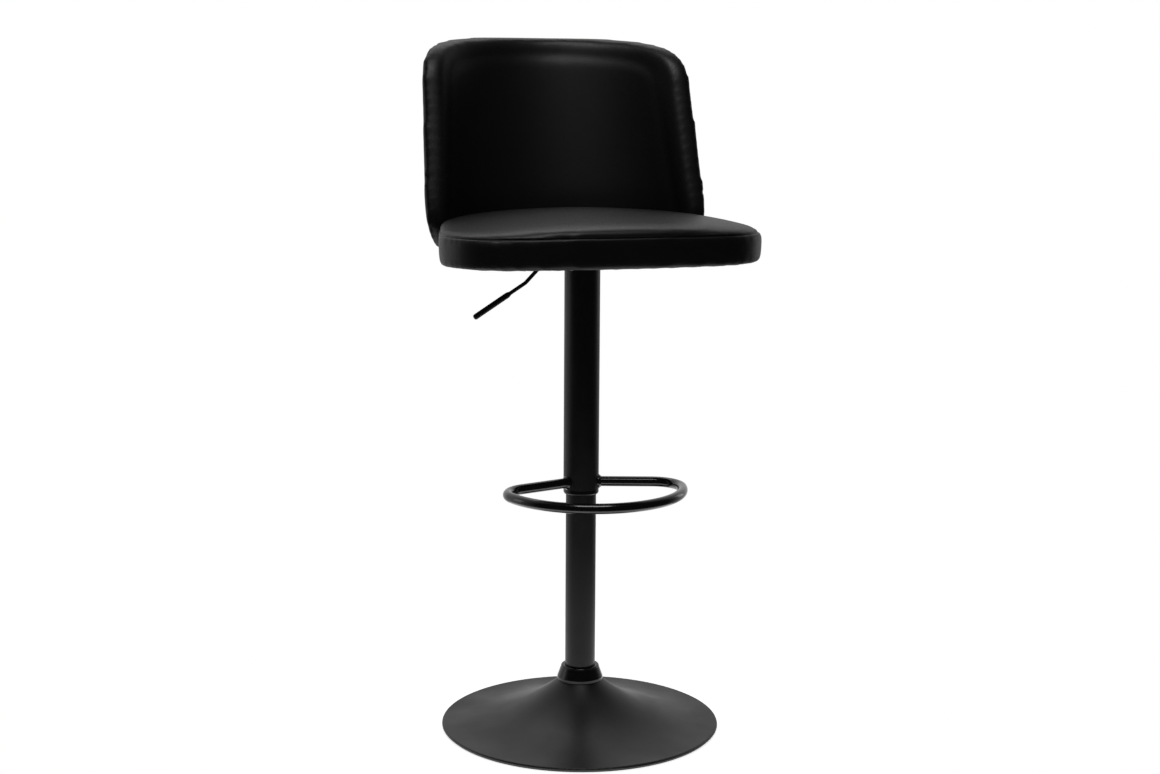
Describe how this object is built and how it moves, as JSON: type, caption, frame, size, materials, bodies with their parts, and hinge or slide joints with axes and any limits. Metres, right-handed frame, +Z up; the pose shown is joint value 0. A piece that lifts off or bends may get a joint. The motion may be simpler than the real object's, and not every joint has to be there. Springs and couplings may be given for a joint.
{
  "type": "bar stool",
  "caption": "Swivel bar stool with a wrap-around padded back, gas lift column, looped footrest and round trumpet base.",
  "frame": {"origin": "on the floor under the column's axis, at the middle of the floor pad's underside", "axes": "+Z up along the column, -Y to the front of the seat, +X to the left of a person who sits on it"},
  "size_m": [0.486, 0.4984, 1.0949],
  "materials": {
    "powder_coat": "satin black powder coat",
    "gloss_lacquer": "gloss black lacquer",
    "gloss_plastic": "gloss black",
    "grip_plastic": "satin black, moulded",
    "slide_plastic": "smooth",
    "polished_steel": "ground and polished",
    "plated_steel": "zinc plated",
    "ballast_iron": "as cast",
    "black_rubber": "matt",
    "plywood": "bare ply",
    "black_leather": "satin, fine grain",
    "dust_cloth": "matt non-woven cloth"
  },
  "bodies": {
    "base": {"floor_pad": "black_rubber", "base_plate": "powder_coat", "base_ballast": "ballast_iron", "base_hub": "powder_coat", "base_cover": "powder_coat", "base_collar": "gloss_plastic", "lower_column": "powder_coat", "column_end_plate": "plated_steel", "thrust_bearing": "plated_steel", "guide_bush": "slide_plastic"},
    "rod": {"piston_rod": "polished_steel", "piston_head": "slide_plastic", "rod_clip": "plated_steel", "rod_buffer": "black_rubber"},
    "seat": {"gas_cylinder": "powder_coat", "cylinder_seal": "black_rubber", "upper_sleeve": "powder_coat", "sleeve_end_ring": "gloss_plastic", "footrest_loop": "gloss_lacquer", "footrest_welds": "gloss_lacquer", "taper_socket": "powder_coat", "seat_plate": "powder_coat", "lever_box": "powder_coat", "lever_pivot": "plated_steel", "seat_bolts": "plated_steel", "bolt_washers": "plated_steel", "tee_nuts": "plated_steel", "dust_cover": "dust_cloth", "seat_board": "plywood", "seat_cushion": "black_leather", "back_straps": "powder_coat", "strap_screws": "plated_steel", "back_plywood": "plywood", "back_inner_pad": "black_leather", "back_outer_cover": "black_leather", "back_edge_roll": "black_leather"},
    "lever": {"release_lever": "gloss_lacquer", "lever_grip": "grip_plastic"},
    "pin": {"release_pin": "polished_steel"}
  },
  "joints": [
    {"name": "swivel", "type": "hinge", "parent": "base", "child": "rod", "pos_m": [0, 0, 0], "axis": [0, 0, 1], "continuous": true},
    {"name": "height", "type": "slide", "parent": "rod", "child": "seat", "axis": [0, 0, 1], "range_m": [-0.2, 0]},
    {"name": "lever_lift", "type": "hinge", "parent": "seat", "child": "lever", "pos_m": [-0.036, 0, 0.75], "axis": [0, 1, 0], "range_deg": [0, 6], "stiffness_Nm_per_rad": 2, "springref_deg": -8.59},
    {"name": "pin_push", "type": "slide", "parent": "seat", "child": "pin", "axis": [0, 0, -1], "range_m": [0, 0.0046]}
  ],
  "couplings": [
    {"joint": "pin_push", "follows": "lever_lift", "m_per_rad": 0.042}
  ]
}
